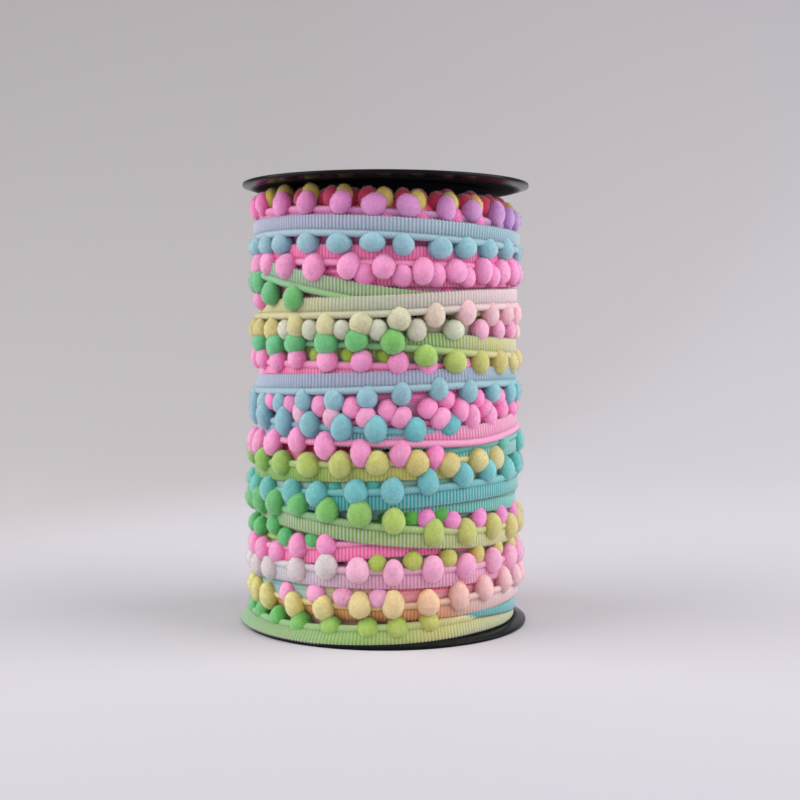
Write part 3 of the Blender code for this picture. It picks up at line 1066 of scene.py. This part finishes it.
def makeFuzzTree():
    # hairs strewn over the balls, each turned its own way
    kinds = {"Object": "hair", "Float": "density", "Int": "seed", "Material": "cloth"}
    tree, given, result = newGeometryTree("growFuzz", kinds)
    inputs = {"Mesh": given["Geometry"], "Density": given["density"], "Seed": given["seed"]}
    spots = nodeOutputs(tree, "GeometryNodeDistributePointsOnFaces", inputs)
    turned = leant(spots["Rotation"], between(tree, *fuzz["lean"], "FLOAT_VECTOR"))
    hairs = copied(spots["Points"], shapeOf(given["hair"]), turned, between(tree, *fuzz["sizes"], "FLOAT"))
    endTree(result, hairs, given["cloth"])
    return tree


def placePiece(piece, slot, *nodes):
    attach(piece, "root")
    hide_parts(*nodes)
    piece.data.calc_loop_triangles()
    print(piece.name, len(piece.data.loop_triangles), "triangles")


tapeTree = makeTapeTree()
ballTree = makeBallTree()
fuzzTree = makeFuzzTree()
hair = hairObject()
fineSection = sectionObject("tapeSection", tapeSection)
coarseSection = sectionObject("plainSection", plainSection)
rng = np.random.default_rng(tape["seed"])


def growTrim(name, seed, tree, values):
    piece = growPiece(name, seed, tree, values)
    placePiece(piece, "trim_fabric", "wound_trim")
    return piece


def growTapes(name, group, section, sizes):
    values = {
        "section": section,
        "ribPitch": sizes["ribPitch"] * mm,
        "ribHeight": tape["ribHeight"] * mm,
        "picot": tape["picot"] * mm,
        "samples": sizes["samples"],
        "cloth": weaveMaterial,
    }
    growTrim(name, seedTapes(name + "Paths", group, rng), tapeTree, values)


def growBalls(name, group, spread, sizes):
    values = {
        "taper": pompom["taper"],
        "lumps": pompom["lumps"] * mm,
        "segments": sizes["segments"],
        "rings": sizes["rings"],
        "cloth": feltMaterial,
    }
    return growTrim(name, seedBalls(name + "Points", group, spread, rng), ballTree, values)


def growFuzz(name, balls):
    values = {
        "hair": hair,
        "density": fuzz["hairs"] / mm**2,
        "seed": fuzz["seed"],
        "cloth": feltMaterial,
    }
    growTrim(name, balls.data.copy(), fuzzTree, values)


def hiddenTurn(i, height, dye, distance=layer["at"]):
    angle = i * layer["turnStep"]
    balls = tuple((at, height + layer["ballsAbove"]) for at in (angle, angle + layer["ballStep"]))
    inside = distance - layer["ballsInside"]
    return Turn(f"hidden{i}", 1, height, distance, 0, inside, layer["ballSize"], dye, balls)


hiddenTurns = [hiddenTurn(i, *row) for i, row in enumerate(hidden)]
third = len(turns) // 3
growTapes("upperTapes", turns[:third], fineSection, tape)
growTapes("middleTapes", turns[third : 2 * third], fineSection, tape)
growTapes("lowerTapes", turns[2 * third :], fineSection, tape)
growTapes("hiddenTapes", hiddenTurns, coarseSection, layer)
half = len(turns) // 2
spread = spreadBalls(turns, rng)
upperBalls = growBalls("upperBalls", turns[:half], spread, pompom)
lowerBalls = growBalls("lowerBalls", turns[half:], spread, pompom)
growFuzz("upperFuzz", upperBalls)
growFuzz("lowerFuzz", lowerBalls)
hiddenSpread = {turn.name: frontBalls(turn, rng) + backBalls(turn, rng) for turn in hiddenTurns}
growBalls("hiddenBalls", hiddenTurns, hiddenSpread, layer)

reel = {
    "radius": 37.5,  # millimetres
    "thickness": 1.5,
    "rim": 0.9,
    "rounding": 0.22,
    "roundingCut": 0.3,  # share of the rounding
    "slopeFrom": 35.0,  # distance from the axis where the inner face starts to fall towards the rim
    "ringAt": 33.0,
    "middle": 29.0,
    "height": 115.0,
    "core": 27.2,
    "coreGap": 0.35,  # to each flange
    "sides": 144,
    "sharp": 50,  # degrees
}

finish = {
    "colour": (0.004, 0.005, 0.007),
    "dust": 0.0009,  # metres
    "dustMottle": 0.5,
    "dustRough": 0.14,
    "rimRough": 0.1,
    "outerRough": 0.32,  # added on the top of the reel
    "outerFrom": 0.3,  # millimetres below the top
    "innerRough": 0.75,  # added on the faces next to the trim
    "mattTo": 33.2,  # distances from the axis, millimetres
    "glossFrom": 35.6,
    "surface": {"Roughness": 0.2, "Specular IOR Level": 0.1},
}


def makePlastic():
    # black plastic with faint scuffs and dust: a glossy rim, a duller outer face and a matt inner one
    material, tree, surface = newMaterial("blackPlastic", finish["surface"])
    dust = placeGroup(tree, fibreGroup, {"Size": finish["dust"], "Mottle": finish["dustMottle"]})
    tree.links.new(scaled(finish["colour"], dust["Tone"]), surface["Base Color"])
    place = ownPlace(tree)
    outerFrom = (reel["height"] - finish["outerFrom"]) * mm
    outer = calc("GREATER_THAN", split(place)[2], outerFrom)
    glossy = ramped(fromAxis(place), finish["mattTo"] * mm, finish["glossFrom"] * mm)
    inner = times(minus(1.0, glossy), minus(1.0, outer))
    rough = timesPlus(outer, finish["outerRough"], finish["rimRough"])
    rough = timesPlus(inner, finish["innerRough"], rough)
    rough = timesPlus(dust["Height"], finish["dustRough"], rough)
    tree.links.new(rough, surface["Roughness"])
    return material


def flangeProfile():
    # distance from the axis, and height above the flange's outer face
    r, t, rim, c = reel["radius"], reel["thickness"], reel["rim"], reel["rounding"]
    cut = reel["roundingCut"] * c
    return [
        (reel["middle"], 0.0),
        (reel["ringAt"], 0.0),
        (r - c, 0.0),
        (r - cut, cut),
        (r, c),
        (r, rim - c),
        (r - cut, rim - cut),
        (r - c, rim),
        (reel["slopeFrom"], t),
        (reel["middle"], t),
    ]


def growRound(name, profile, face, inward, node):
    # the profile turned about the axis, from the height of its outer face inwards
    sides, size = reel["sides"], len(profile)
    points = []
    for i in range(sides):
        a = 2 * math.pi * i / sides
        points += [(r * math.cos(a) * mm, r * math.sin(a) * mm, (face + inward * z) * mm) for r, z in profile]
    faces = []
    for i in range(sides):
        j = (i + 1) % sides
        faces += [(i * size + k, j * size + k, j * size + k + 1, i * size + k + 1) for k in range(size - 1)]
    faces += [tuple(i * size + end for i in range(sides)) for end in (0, size - 1)]
    piece = newObject(name, points, faces, plastic)
    piece.data.set_sharp_from_angle(angle=math.radians(reel["sharp"]))
    placePiece(piece, "flange_plastic", node)


def spinCore():
    # the hub that the trim is wound on, kept clear of both flanges
    ends = reel["thickness"] + reel["coreGap"]
    profile = [(reel["core"], 0.0), (reel["core"], reel["height"] - 2 * ends)]
    growRound("core", profile, ends, 1, "wound_trim")


plastic = makePlastic()
growRound("lowerFlange", flangeProfile(), 0.0, 1, "flange_bottom")
growRound("upperFlange", flangeProfile(), reel["height"], -1, "flange_top")
spinCore()
